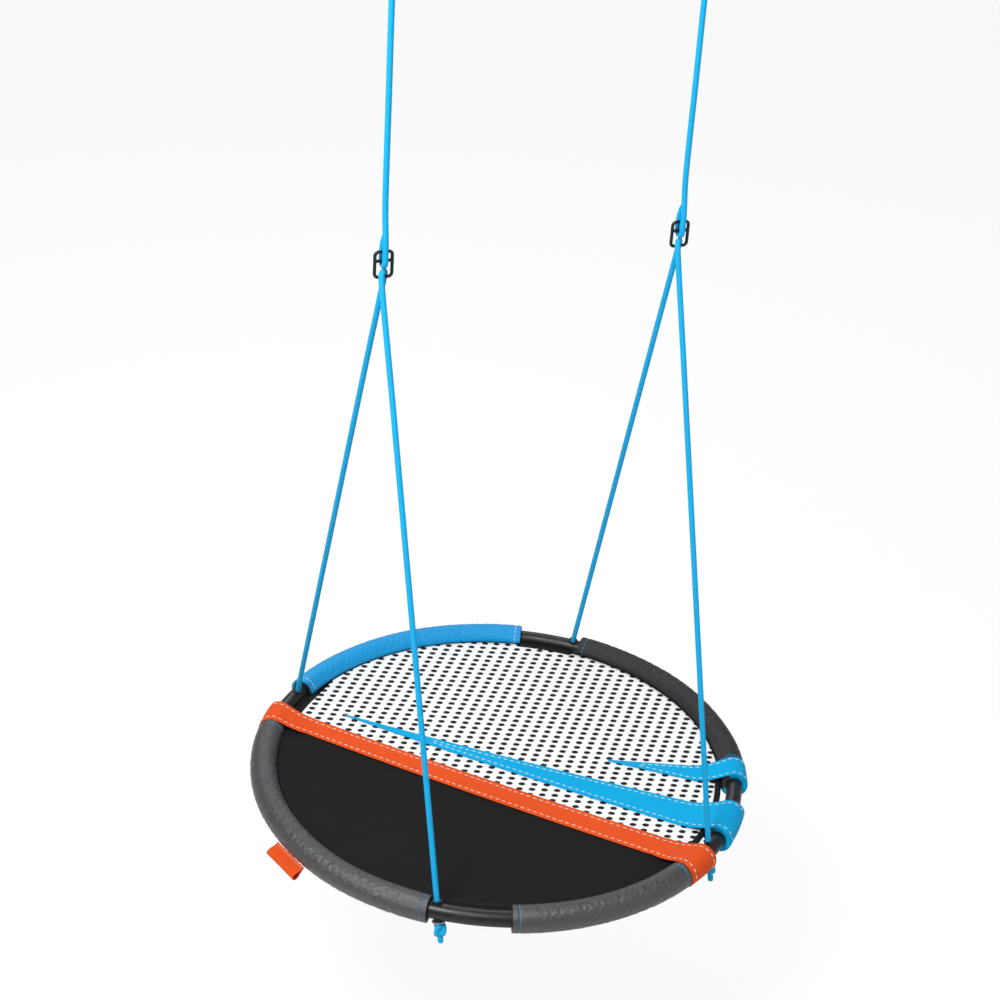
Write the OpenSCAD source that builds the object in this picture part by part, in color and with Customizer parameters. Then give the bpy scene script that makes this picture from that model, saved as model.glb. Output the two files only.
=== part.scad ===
// Round platform swing: a padded steel ring with a fabric seat, hung on two rope triangles.
// Millimetres. The origin lies on the underside of the beam, midway between the two hangers.
// +X runs along the beam to the right hanger, +Y to the back of the seat, +Z up.

/* [Seat rim] */
// Diameter of the seat over its padded sleeves
seat_d = 1016; // [800:2:1240]
// Outside diameter of a padded sleeve
sleeve_d = 54; // [46:1:66]
// Thickness of the sleeve fabric
sleeve_t = 1.6; // [1:0.1:2.4]
// Outside diameter of the steel rim tube
tube_d = 32; // [27:1:38]
// Wall of the steel rim tube
tube_wall = 1.8; // [1.4:0.1:2.6]
// Length of a spigot that joins two rim tubes
spigot_len = 90; // [60:5:120]
// Wall of a spigot
spigot_wall = 1.8; // [1.4:0.1:2.6]
// Diameter of a rim screw's shank
screw_d = 5; // [4:0.5:6]

/* [Seat fabric] */
// Thickness of the two seat panels
panel_t = 2; // [1.4:0.1:3]
// Width of the hem tape along a panel's edge
hem_w = 12; // [8:1:20]
// Thickness of the hem tape
hem_t = 1.2; // [0.8:0.1:2]
// Thickness of the bands across the seat
band_t = 1.5; // [1:0.1:2.4]
// Length of the tab on the front left sleeve
tab_len = 80; // [50:5:110]
// How far the tab stands out of the sleeve
tab_out = 28; // [20:1:36]
// Thickness of the folded tab
tab_t = 6; // [4:0.5:9]

/* [Ropes] */
// Rope diameter
rope_d = 11; // [9:0.5:12]
// Distance between the two hanging points
hang_span = 576; // [500:2:660]
// Angle of the back rope holes from the seat's left-right line
back_hole_angle = 48; // [47.5:0.5:54]
// Angle of the front rope holes from the seat's left-right line
front_hole_angle = 54; // [53:0.5:55]
// Outside diameter of a rope bush
bush_d = 14.4; // [14:0.2:16]
// Diameter of a rope bush's flange
flange_d = 20; // [18:1:24]
// Diameter of the washer above a stopper knot
washer_d = 26; // [22:1:30]
// Thickness of the washer above a stopper knot
washer_t = 2; // [1.5:0.5:3]
// Width of a stopper knot
knot_d = 27; // [24:1:32]

/* [Heights below the beam] */
// Depth of the hanger pins
pin_drop = 40; // [36:1:50]
// Depth of the adjuster rings' middle bars
ring_drop = 600; // [400:10:900]
// Depth of the seat rim's middle plane
seat_drop = 1740; // [1300:10:2200]

/* [Adjuster ring] */
// Diameter of the ring's bars
bar_d = 6; // [4.5:0.5:7]
// Clear width between the ring's side bars
window_w = 26; // [24:1:32]
// Distance from the middle bar up to the top bar
top_bar_up = 17; // [15:0.5:22]
// Distance from the middle bar down to the bottom bar
bottom_bar_down = 30; // [28:0.5:36]
// Radius of the ring's rounded corners, to the bar's centre
corner_r = 7; // [5:0.5:10]

/* [Hanger] */
// Length of the hanger plate, front to back
plate_len = 100; // [86:1:130]
// Width of the hanger plate
plate_w = 44; // [38:1:60]
// Thickness of the hanger plate
plate_t = 6; // [5:0.5:8]
// Distance between the two beam bolt holes
bolt_spacing = 72; // [66:1:90]
// Diameter of a beam bolt hole
bolt_hole_d = 11; // [9:0.5:13]
// Thickness of a hanger ear
ear_t = 5; // [4:0.5:7]
// Width of a hanger ear
ear_w = 32; // [28:1:40]
// Diameter of the pin bolt
pin_d = 12; // [10:1:14]
// Width of the thimble
thimble_w = 16; // [14.5:0.5:20]
// Radius of the circle that the rope's middle follows round the thimble
thimble_rope_r = 20; // [19.5:0.5:22]

/* [Hidden] */
$fn = 64;
gap = 0.3;                                  // clearance of soft and loosely fitted pieces
running_gap = 0.1;                          // radial clearance of the thimble on its pin
fine = 0.1;                                 // overlap of shapes that are one piece
rim_r = (seat_d - sleeve_d) / 2;            // radius of the rim's middle line
tube_r = tube_d / 2;
sleeve_r = sleeve_d / 2;
foam_r = sleeve_r - sleeve_t - gap;
spigot_r = tube_r - tube_wall - gap;
pin_r = pin_d / 2;
bar_r = bar_d / 2;
rope_r = rope_d / 2;
hang_x = hang_span / 2;
side_x = window_w / 2 + bar_r;              // the ring's side bars, from its middle
panel_r = rim_r - sleeve_r - gap;           // edge of the seat panels
hem_z = panel_t / 2 + gap;                  // the hem tape's inner faces
band_z = hem_z + hem_t + gap;               // underside of the bands
pin_grip = thimble_w / 2 + gap + ear_t;     // from a hanger's middle to an ear's outer face
nut_h = pin_d * 0.8;
nut_across = pin_d * 1.8;
head_h = nut_h * 0.8;
pin_end = 4;                                // how far the pin bolt stands out of its nut
tube_ends = [5, 95, 185, 275];              // where the rim tubes meet, in degrees
screw_turn = 2;                             // a rim screw's place beside a tube joint, in degrees
screw_angles = [for (a = tube_ends, turn = [-screw_turn, screw_turn]) a + turn];
screw_head_d = 8.5;
screw_head_t = 2.2;
screw_depth = 8;
pocket_gap = 1;

// Stretches of the rim, in degrees counter-clockwise from +X
blue_arc = [62, 129.5];
charcoal_arc = [340, 405.5];
front_left_arc = [147.6, 232];
front_right_arc = [250.5, 295];
orange_left_arc = [140.4, 147.2];
orange_right_arc = [295.4, 303.5];
wide_arc = [311, 322.6];
narrow_arc = [333.2, 339.5];

// Bands across the seat, as outlines that end past the rim, in the bands' own direction
band_turn = -48;
seam_v = -96;                               // seam of the two panels, under the orange band
orange_outline = [[-500, -68], [500, -66], [500, -139], [-500, -127]];
wide_outline = [[-356, -12], [500, 0], [500, 95]];
narrow_outline = [[190, 124], [480, 188], [464, 242]];
tab_angle = 195;                            // middle of the tab
tab_dip = 42;                               // its slope below level, and its seam's place

// Rope holes in the rim: angle, the hanging side and the leg, which is front or back
rope_shift = 6;                             // sideways shift of the two strands on the ring
strand_y = 8.5;                             // where a strand leaves the bottom bar
strand_up = 3;
rope_holes = [[back_hole_angle, 1, 1], [180 - back_hole_angle, -1, 1],
              [180 + front_hole_angle, -1, -1], [360 - front_hole_angle, 1, -1]];
bush_stand = 2.8;                           // height of a slanted bush over the tube
bush_half = tube_r + bush_stand;            // from the rim's middle line to a bush's end
bush_gap = 0.5;                             // play of the rope in its bush
flange_t = 1.5;
washer_top = bush_half + gap;               // from the rim's middle line to a washer
knot_h = 28;
tail_h = 16;

// Ropes: their routes, and the thin tips that are tucked into a splice
rope_sides = 10;
tip_r = 3;
upper_route = [
    [2, -88], [8.5, -76], [15, -60.5], [19.3, -45.4], [20, -40], [18.8, -33], [15.3, -27],
    [10, -22.7], [3.5, -20.3], [-3.5, -20.3], [-10, -22.7], [-15.3, -27], [-18.8, -33],
    [-20, -40], [-19.3, -45.4], [-12.5, -70], [-6.5, -94], [-2, -116], [0, -140], [0, -315],
    [0, -490], [-2, -520], [-6, -548], [-8.5, -568], [-9, -583], [-9, -600], [-8.3, -603.5],
    [-6.4, -606.4], [-3.4, -608.3], [0, -609], [3.4, -608.3], [6.4, -606.4], [8.3, -603.5],
    [9, -600], [9, -583], [7.5, -570], [3, -552]];
leg_route_left = [
    [-282.5, -396, -1760], [-282.7, -389, -1740], [-285.7, -289.8, -1450], [-288.8, -187.3, -1150],
    [-291.8, -84.7, -850], [-294, -8.5, -627], [-293, -6.4, -623.6], [-291, -3.1, -621.5],
    [-288, 0, -621], [-285, 3.1, -621.5], [-283, 6.4, -623.6], [-282, 8.5, -627],
    [-290, 78.4, -850], [-300.7, 172.4, -1150], [-311.4, 266.5, -1450], [-321.8, 357.5, -1740],
    [-322.6, 363.8, -1760]];
leg_route_right = [
    [282.8, -396, -1760], [282.7, -389, -1740], [282.5, -289.8, -1450], [282.3, -187.3, -1150],
    [282.1, -84.7, -850], [282, -8.5, -627], [283, -6.4, -623.6], [285, -3.1, -621.5],
    [288, 0, -621], [291, 3.1, -621.5], [293, 6.4, -623.6], [294, 8.5, -627],
    [299.6, 78.4, -850], [307.1, 172.4, -1150], [314.6, 266.5, -1450], [321.8, 357.5, -1740],
    [322.3, 363.8, -1760]];

// ---- Shared shapes ----

function unit(v) = v / norm(v);
// The direction of a route at its point i
function heading(p, i) = unit(p[min(i + 1, len(p) - 1)] - p[max(i - 1, 0)]);
// The crosswise direction nearest to +X, for routes that never run along X
function crosswise(t) = unit([1, 0, 0] - t * t[0]);
function ring_points(p, i, r) =
    let (t = heading(p, i), a = crosswise(t), b = cross(t, a))
    [for (k = [0 : rope_sides - 1])
        p[i] + r * (cos(360 * k / rope_sides) * a + sin(360 * k / rope_sides) * b)];

// A rope along the points p; its first and last rings have the radius end_r
module rope(p, end_r) {
    n = len(p);
    s = rope_sides;
    points = [for (i = [0 : n - 1]) each ring_points(p, i, i == 0 || i == n - 1 ? end_r : rope_r)];
    sides = [for (i = [0 : n - 2], k = [0 : s - 1])
        let (a = i * s + k, b = i * s + (k + 1) % s) each [[a, a + s, b], [b, a + s, b + s]]];
    caps = [[for (k = [0 : s - 1]) k], [for (k = [s - 1 : -1 : 0]) (n - 1) * s + k]];
    polyhedron(points, concat(sides, caps));
}

module at_seat() {
    translate([0, 0, -seat_drop]) children();
}

// A piece bent along the rim, with its outline drawn about the rim's middle line
module along_rim(arc) {
    rotate_extrude(start = arc[0], angle = arc[1] - arc[0]) translate([rim_r, 0]) children();
}

module rim_hollow(arc, outer_r, inner_r) {
    along_rim(arc) difference() {
        circle(outer_r);
        circle(inner_r);
    }
}

// An angle along the rim that spans the length l
function rim_angle(l) = l * 180 / (PI * rim_r);

// Places children at the rim's middle line, at an angle, with +Z up
module on_rim(angle) {
    rotate([0, 0, angle]) translate([rim_r, 0, 0]) children();
}

// The line of the rope through a hole, from the rim up to the bottom bar of its ring
function leg_line(h) =
    [h[1] * hang_x + h[2] * rope_shift, h[2] * strand_y,
     seat_drop - ring_drop - bottom_bar_down + strand_up]
    - [rim_r * cos(h[0]), rim_r * sin(h[0]), 0];

// Turns +Z into the line of the rope through a hole, at the rim's middle line
module along_leg(h) {
    d = unit(leg_line(h));
    translate([rim_r * cos(h[0]), rim_r * sin(h[0]), 0])
        rotate([0, acos(d[2]), atan2(d[1], d[0])]) children();
}

module disc(r, from, h) {
    translate([0, 0, from]) cylinder(r = r, h = h);
}

module holed_disc(r, hole_r, from, h) {
    difference() {
        disc(r, from, h);
        disc(hole_r, from - 1, h + 2);
    }
}

// ---- Hangers, pins and thimbles ----

module hanger_ear(x) {
    drop = pin_drop - plate_t + fine;
    translate([x - ear_t / 2, 0, -pin_drop]) rotate([90, 0, 90]) linear_extrude(ear_t) {
        circle(ear_w / 2);
        translate([-ear_w / 2, 0]) square([ear_w, drop]);
    }
}

module hanger(side) {
    ear_x = (thimble_w + ear_t) / 2 + gap;
    color("#8c9196") translate([side * hang_x, 0, 0]) difference() {
        union() {
            translate([-plate_w / 2, -plate_len / 2, -plate_t]) cube([plate_w, plate_len, plate_t]);
            hanger_ear(-ear_x);
            hanger_ear(ear_x);
        }
        for (y = [-bolt_spacing / 2, bolt_spacing / 2])
            translate([0, y, -plate_t - 1]) cylinder(d = bolt_hole_d, h = plate_t + 2);
        translate([-plate_w, 0, -pin_drop]) rotate([0, 90, 0])
            cylinder(r = pin_r + running_gap, h = 2 * plate_w);
    }
}

module pin_bolt(side) {
    color("#a6abb0") translate([side * hang_x, 0, -pin_drop]) rotate([0, side * 90, 0]) {
        disc(pin_r, -pin_grip - gap, 2 * pin_grip + nut_h + pin_end);
        translate([0, 0, -pin_grip - gap - head_h]) cylinder(d = nut_across, h = head_h, $fn = 6);
    }
}

module lock_nut(side) {
    color("#a6abb0") translate([side * hang_x, 0, -pin_drop]) rotate([0, side * 90, 0])
        translate([0, 0, pin_grip + gap]) difference() {
            cylinder(d = nut_across, h = nut_h, $fn = 6);
            translate([0, 0, -1]) cylinder(r = pin_r + running_gap / 2, h = nut_h + 2);
        }
}

module thimble(side) {
    bore_r = pin_r + running_gap;
    color("#b9bec3") translate([side * hang_x, 0, -pin_drop]) rotate([0, 90, 0])
        rotate_extrude() difference() {
            translate([bore_r, -thimble_w / 2]) square([thimble_rope_r - bore_r, thimble_w]);
            translate([thimble_rope_r, 0]) circle(rope_r + gap);
        }
}

module upper_rope(side) {
    color("#12aee6") rope([for (p = upper_route) [side * hang_x, p[0], p[1]]], tip_r);
}

// ---- Adjuster rings ----

module bar(from, to) {
    d = to - from;
    translate(from) rotate([0, acos(d[2] / norm(d)), atan2(d[1], d[0])])
        cylinder(r = bar_r, h = norm(d));
}

module ring_corner(x, z, start) {
    translate([x, 0, z]) rotate([90, 0, 0])
        rotate_extrude(start = start, angle = 90) translate([corner_r, 0]) circle(bar_r);
}

module adjuster_ring(side) {
    low = -bottom_bar_down;
    inner_x = side_x - corner_r;
    color("#1d1d1f") translate([side * hang_x, 0, -ring_drop]) {
        bar([-side_x, 0, 0], [side_x, 0, 0]);
        bar([-inner_x, 0, top_bar_up], [inner_x, 0, top_bar_up]);
        bar([-inner_x, 0, low], [inner_x, 0, low]);
        for (x = [-side_x, side_x]) bar([x, 0, low + corner_r], [x, 0, top_bar_up - corner_r]);
        ring_corner(inner_x, top_bar_up - corner_r, 0);
        ring_corner(-inner_x, top_bar_up - corner_r, 90);
        ring_corner(-inner_x, low + corner_r, 180);
        ring_corner(inner_x, low + corner_r, 270);
    }
}

module leg_rope(route) {
    color("#12aee6") rope(route, rope_r);
}

// ---- Rim ----

// One rim screw under the tube; grow makes the hole for it and the pocket in the foam
module rim_screw(angle, grow = 0) {
    on_rim(angle) {
        disc(screw_d / 2 + grow, -tube_r - fine, screw_depth);
        disc(screw_head_d / 2 + grow, -tube_r - screw_head_t - grow, screw_head_t - fine + 2 * grow);
    }
}

module screw_holes() {
    for (a = screw_angles) on_rim(a) disc(screw_d / 2 + running_gap, -tube_r - 1, screw_depth + 2);
}

module rope_hole_cuts() {
    for (h = rope_holes)
        along_leg(h) disc(bush_d / 2 + running_gap, -sleeve_r, 2 * sleeve_r);
}

module rim_tube(i) {
    start = tube_ends[i];
    color("#232225") at_seat() difference() {
        rim_hollow([start, start + 90 - rim_angle(gap)], tube_r, tube_r - tube_wall);
        rope_hole_cuts();
        screw_holes();
    }
}

module rim_spigots() {
    half = rim_angle(spigot_len / 2);
    color("#6f7377") at_seat() difference() {
        for (a = tube_ends) rim_hollow([a - half, a + half], spigot_r, spigot_r - spigot_wall);
        screw_holes();
    }
}

module rim_screws() {
    color("#9a9ea2") at_seat() for (a = screw_angles) rim_screw(a);
}

module foam(arc) {
    end = rim_angle(sleeve_t + gap);
    at_seat() difference() {
        rim_hollow([arc[0] + end, arc[1] - end], foam_r, tube_r + gap);
        for (a = screw_angles, turn = [0, 360])
            if (a + turn > arc[0] && a + turn < arc[1]) rim_screw(a, pocket_gap);
    }
}

module foam_band_collars() {
    color("#3a3b3d") for (arc = [orange_left_arc, orange_right_arc, wide_arc, narrow_arc]) foam(arc);
}

// A fabric tube over the foam, drawn in to the rim tube at both ends
module sleeve_shell(arc) {
    end = rim_angle(sleeve_t);
    rim_hollow(arc, sleeve_r, sleeve_r - sleeve_t);
    rim_hollow([arc[0], arc[0] + end], sleeve_r - fine, tube_r + gap);
    rim_hollow([arc[1] - end, arc[1]], sleeve_r - fine, tube_r + gap);
}

module sleeve(arc) {
    at_seat() sleeve_shell(arc);
}

// ---- Seat fabric ----

// The half of the seat on one side of the panels' seam: 1 the back, -1 the front
module beyond_seam(side) {
    from = side > 0 ? seam_v + gap / 2 : seam_v - gap / 2 - seat_d;
    rotate([0, 0, band_turn]) translate([-seat_d, from]) square([2 * seat_d, seat_d]);
}

module panel(side) {
    at_seat() translate([0, 0, -panel_t / 2]) linear_extrude(panel_t) intersection() {
        circle(panel_r - hem_t - gap);
        beyond_seam(side);
    }
}

// Hem tape folded over a panel's edge
module hem(side) {
    at_seat() intersection() {
        rotate_extrude() translate([panel_r - hem_w, 0]) difference() {
            translate([0, -hem_z - hem_t]) square([hem_w, 2 * (hem_z + hem_t)]);
            translate([-1, -hem_z]) square([hem_w - hem_t + 1, 2 * hem_z]);
        }
        translate([0, 0, -sleeve_r]) linear_extrude(sleeve_d) beyond_seam(side);
    }
}

// A band: a strip on the panels, and a wrap round the rim at each arc
module band(outline, arcs) {
    lug = sleeve_t;
    at_seat() {
        translate([0, 0, band_z]) linear_extrude(band_t) intersection() {
            rotate(band_turn) polygon(outline);
            circle(panel_r);
        }
        for (arc = arcs) {
            sleeve_shell(arc);
            rotate_extrude(start = arc[0], angle = arc[1] - arc[0])
                translate([panel_r - lug, band_z]) square([2 * lug, band_t]);
        }
    }
}

module label_tab() {
    color("#e9582a") at_seat() on_rim(tab_angle) rotate([0, tab_dip, 0])
        translate([sleeve_r + gap, -tab_len / 2, 0]) rotate([90, 0, 180]) mirror([1, 0, 0])
            linear_extrude(tab_len) {
                translate([0, -tab_t / 2]) square([tab_out - tab_t / 2, tab_t]);
                translate([tab_out - tab_t / 2, 0]) circle(tab_t / 2);
            }
}

// ---- Rope ends at the rim ----

module rope_bushes() {
    bore_r = rope_r + bush_gap;
    color("#2b2b2e") at_seat() for (h = rope_holes) along_leg(h) {
        holed_disc(bush_d / 2, bore_r, -bush_half, 2 * bush_half + flange_t);
        holed_disc(flange_d / 2, bush_d / 2 - fine, bush_half, flange_t);
    }
}

module knot_washers() {
    color("#b3b7bb") at_seat() for (h = rope_holes)
        along_leg(h) holed_disc(washer_d / 2, rope_r + bush_gap, -washer_top - washer_t, washer_t);
}

// A stopper knot with a rope's tail below it, hung from its flat top
module stopper_knot() {
    round_r = knot_h / 3;
    flat_r = knot_d / 2 - round_r;
    translate([0, 0, -knot_h]) rotate_extrude() intersection() {
        square([knot_d, knot_h]);
        union() {
            translate([0, round_r]) square([knot_d / 2, knot_h - 2 * round_r]);
            square([flat_r, knot_h]);
            translate([flat_r, round_r]) circle(round_r);
            translate([flat_r, knot_h - round_r]) circle(round_r);
        }
    }
    disc(rope_r, -knot_h - tail_h, tail_h + fine);
}

module stopper_knots() {
    color("#12aee6") at_seat() for (h = rope_holes)
        along_leg(h) translate([0, 0, -washer_top - washer_t - gap]) stopper_knot();
}

hanger(-1);  // hanger_left
hanger(1);  // hanger_right
pin_bolt(-1);  // pin_bolt_left
pin_bolt(1);  // pin_bolt_right
lock_nut(-1);  // lock_nut_left
lock_nut(1);  // lock_nut_right
thimble(-1);  // thimble_left
thimble(1);  // thimble_right
upper_rope(-1);  // upper_rope_left
upper_rope(1);  // upper_rope_right
adjuster_ring(-1);  // adjuster_ring_left
adjuster_ring(1);  // adjuster_ring_right
leg_rope(leg_route_left);  // leg_rope_left
leg_rope(leg_route_right);  // leg_rope_right
rim_tube(0);  // rim_tube_back
rim_tube(1);  // rim_tube_left
rim_tube(2);  // rim_tube_front
rim_tube(3);  // rim_tube_right
rim_spigots();
rim_screws();
color("#3a3b3d") foam(blue_arc);  // foam_back
color("#3a3b3d") foam(charcoal_arc);  // foam_right
color("#3a3b3d") foam(front_left_arc);  // foam_front_left
color("#3a3b3d") foam(front_right_arc);  // foam_front_right
foam_band_collars();
color("#1199dd") sleeve(blue_arc);  // sleeve_back_blue
color("#333234") sleeve(charcoal_arc);  // sleeve_right_charcoal
color("#5a5a5c") sleeve(front_left_arc);  // sleeve_front_left_grey
color("#5a5a5c") sleeve(front_right_arc);  // sleeve_front_right_grey
color("#f2f2f2") panel(1);  // mesh_panel
color("#232323") panel(-1);  // black_panel
color("#161616") hem(1);  // mesh_panel_hem
color("#161616") hem(-1);  // black_panel_hem
color("#e95826") band(orange_outline, [orange_left_arc, orange_right_arc]);  // orange_band
color("#05aee2") band(wide_outline, [wide_arc]);  // wide_blue_band
color("#05aee2") band(narrow_outline, [narrow_arc]);  // narrow_blue_band
label_tab();
rope_bushes();
knot_washers();
stopper_knots();
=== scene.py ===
import math

import bmesh
import bpy
import numpy as np
from mathutils import Matrix, Vector


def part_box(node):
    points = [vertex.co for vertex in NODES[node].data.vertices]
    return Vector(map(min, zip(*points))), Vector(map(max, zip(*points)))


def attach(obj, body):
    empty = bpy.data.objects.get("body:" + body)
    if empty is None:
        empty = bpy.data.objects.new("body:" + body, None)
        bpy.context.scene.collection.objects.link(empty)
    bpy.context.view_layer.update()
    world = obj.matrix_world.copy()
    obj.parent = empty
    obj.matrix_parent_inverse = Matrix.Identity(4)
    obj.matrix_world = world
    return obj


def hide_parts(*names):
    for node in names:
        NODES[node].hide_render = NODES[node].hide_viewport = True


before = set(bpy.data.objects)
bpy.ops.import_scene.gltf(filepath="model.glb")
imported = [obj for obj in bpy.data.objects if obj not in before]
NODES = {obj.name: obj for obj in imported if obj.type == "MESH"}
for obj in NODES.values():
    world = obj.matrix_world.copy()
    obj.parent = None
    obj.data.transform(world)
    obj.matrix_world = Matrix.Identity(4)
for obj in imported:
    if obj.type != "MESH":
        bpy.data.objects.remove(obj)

TAU = 2 * math.pi
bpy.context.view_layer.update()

# The object's own sizes, in metres
SEAT_Z = (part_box("rim_tube_front")[0][2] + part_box("rim_tube_front")[1][2]) / 2
RIM_R = 0.481           # the rim's middle line
TUBE_R = 0.016
SLEEVE_R = 0.027
ROPE_R = 0.0055
HANG_X = 0.288
PANEL_R = 0.4522        # edge of the panels, inside their hems
HEM_R = 0.4537
HEM_W = 0.012
BAND_TURN = math.radians(-48)
SEAM_V = -0.096
BAND_Z = 0.0036         # middle of the bands over the rim's middle plane
WRAP_R = 0.0273         # middle of a band where it lies round the rim
BAND_IN = 0.404         # where a band starts to rise from the seat to the rim
SAG = 0.006             # the seat's sag in the middle

UPPER_ROUTE = [
    (2, -88), (8.5, -76), (15, -60.5), (19.3, -45.4), (20, -40), (18.8, -33), (15.3, -27),
    (10, -22.7), (3.5, -20.3), (-3.5, -20.3), (-10, -22.7), (-15.3, -27), (-18.8, -33),
    (-20, -40), (-19.3, -45.4), (-12.5, -70), (-6.5, -94), (-2, -116), (0, -140), (0, -315),
    (0, -490), (-2, -520), (-6, -548), (-8.5, -568), (-9, -583), (-9, -600), (-8.3, -603.5),
    (-6.4, -606.4), (-3.4, -608.3), (0, -609), (3.4, -608.3), (6.4, -606.4), (8.3, -603.5),
    (9, -600), (9, -583), (7.5, -570), (3, -552)]
LEG_LEFT = [
    (-282.5, -396, -1760), (-282.7, -389, -1740), (-285.7, -289.8, -1450),
    (-288.8, -187.3, -1150), (-291.8, -84.7, -850), (-294, -8.5, -627), (-293, -6.4, -623.6),
    (-291, -3.1, -621.5), (-288, 0, -621), (-285, 3.1, -621.5), (-283, 6.4, -623.6),
    (-282, 8.5, -627), (-290, 78.4, -850), (-300.7, 172.4, -1150), (-311.4, 266.5, -1450),
    (-321.8, 357.5, -1740), (-322.6, 363.8, -1760)]
LEG_RIGHT = [
    (282.8, -396, -1760), (282.7, -389, -1740), (282.5, -289.8, -1450), (282.3, -187.3, -1150),
    (282.1, -84.7, -850), (282, -8.5, -627), (283, -6.4, -623.6), (285, -3.1, -621.5),
    (288, 0, -621), (291, 3.1, -621.5), (293, 6.4, -623.6), (294, 8.5, -627),
    (299.6, 78.4, -850), (307.1, 172.4, -1150), (314.6, 266.5, -1450), (321.8, 357.5, -1740),
    (322.3, 363.8, -1760)]


# ---- Camera ----

def make_camera():
    az, el, roll = math.radians(-24.1), math.radians(29), math.radians(3.75)
    back = Vector((math.sin(az) * math.cos(el), -math.cos(az) * math.cos(el), math.sin(el)))
    level = Vector((math.cos(az), math.sin(az), 0))
    above = back.cross(level)
    right = math.cos(roll) * level + math.sin(roll) * above
    up = math.cos(roll) * above - math.sin(roll) * level
    data = bpy.data.cameras.new("Camera")
    data.lens, data.sensor_width = 74.45, 36
    data.clip_start, data.clip_end = 0.05, 60
    camera = bpy.data.objects.new("Camera", data)
    place = Matrix((right, up, back)).transposed().to_4x4()
    place.translation = Vector((-0.011, 0.059, -1.151)) + 4.0 * back
    camera.matrix_world = place
    bpy.context.scene.collection.objects.link(camera)
    bpy.context.scene.camera = camera


# ---- Materials ----

def linear(code):
    """The scene's linear colour of a hex colour."""
    parts = [int(code[i:i + 2], 16) / 255 for i in (1, 3, 5)]
    return tuple(p / 12.92 if p <= 0.04045 else ((p + 0.055) / 1.055) ** 2.4 for p in parts) + (1,)


class Shader:
    """A material's node tree, with a call for each node."""

    def __init__(self, name, rough, **fixed):
        self.material = bpy.data.materials.new(name)
        self.material.use_nodes = True
        self.tree = self.material.node_tree
        self.shader = next(n for n in self.tree.nodes if n.type == "BSDF_PRINCIPLED")
        self.shader.inputs["Roughness"].default_value = rough
        for key, value in fixed.items():
            self.shader.inputs[key.replace("_", " ")].default_value = value

    def add(self, kind, *inputs, **settings):
        node = self.tree.nodes.new(kind)
        for key, value in settings.items():
            setattr(node, key, value)
        for i, value in enumerate(inputs):
            if value is None:
                continue
            if isinstance(value, bpy.types.NodeSocket):
                self.tree.links.new(value, node.inputs[i])
            else:
                node.inputs[i].default_value = value
        return node.outputs

    def math(self, operation, *inputs):
        return self.add("ShaderNodeMath", *inputs, operation=operation)[0]

    def flat(self):
        """The two lengths of the cloth's own map, in metres."""
        split = self.add("ShaderNodeSeparateXYZ", self.add("ShaderNodeUVMap", uv_map="Cloth")[0])
        return split[0], split[1]

    def noise(self, vector, scale, detail=4.0, roughness=0.55):
        node = self.tree.nodes.new("ShaderNodeTexNoise")
        if vector is not None:
            self.tree.links.new(vector, node.inputs["Vector"])
        node.inputs["Scale"].default_value = scale
        node.inputs["Detail"].default_value = detail
        node.inputs["Roughness"].default_value = roughness
        return node.outputs["Fac"]

    def ramp(self, value, *stops):
        node = self.tree.nodes.new("ShaderNodeValToRGB")
        self.tree.links.new(value, node.inputs[0])
        ramp = node.color_ramp
        while len(ramp.elements) < len(stops):
            ramp.elements.new(0.5)
        for element, (place, colour) in zip(ramp.elements, stops):
            element.position, element.color = place, colour
        return node.outputs[0]

    def mix(self, share, a, b):
        node = self.tree.nodes.new("ShaderNodeMix")
        node.data_type = "RGBA"
        for socket, value in ((node.inputs[0], share), (node.inputs[6], a), (node.inputs[7], b)):
            if isinstance(value, bpy.types.NodeSocket):
                self.tree.links.new(value, socket)
            else:
                socket.default_value = value
        return node.outputs[2]

    def weave(self, pitch):
        """Height of a plain weave: threads go over and under each other on a square grid."""
        u, v = self.flat()
        u, v = self.math("MULTIPLY", u, 1 / pitch), self.math("MULTIPLY", v, 1 / pitch)
        across = self.math("ABSOLUTE", self.math("SINE", self.math("MULTIPLY", u, math.pi)))
        along = self.math("ABSOLUTE", self.math("SINE", self.math("MULTIPLY", v, math.pi)))
        cells = self.math("ADD", self.math("FLOOR", u), self.math("FLOOR", v))
        over = self.math("ABSOLUTE", self.math("MODULO", cells, 2.0))
        warp = self.math("MULTIPLY", across, self.math("ADD", self.math("MULTIPLY", along, 0.4), 0.6))
        weft = self.math("MULTIPLY", along, self.math("ADD", self.math("MULTIPLY", across, 0.4), 0.6))
        picked = self.math("MULTIPLY", warp, over)
        rest = self.math("MULTIPLY", weft, self.math("SUBTRACT", 1.0, over))
        return self.math("ADD", picked, rest)

    def bump(self, height, strength, depth):
        node = self.tree.nodes.new("ShaderNodeBump")
        self.tree.links.new(height, node.inputs["Height"])
        node.inputs["Strength"].default_value = strength
        node.inputs["Distance"].default_value = depth
        self.tree.links.new(node.outputs[0], self.shader.inputs["Normal"])

    def colour(self, socket):
        self.tree.links.new(socket, self.shader.inputs["Base Color"])
        return self.material


def shade(colour, factor):
    return tuple(min(1, c * factor) for c in colour[:3]) + (1,)


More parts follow.
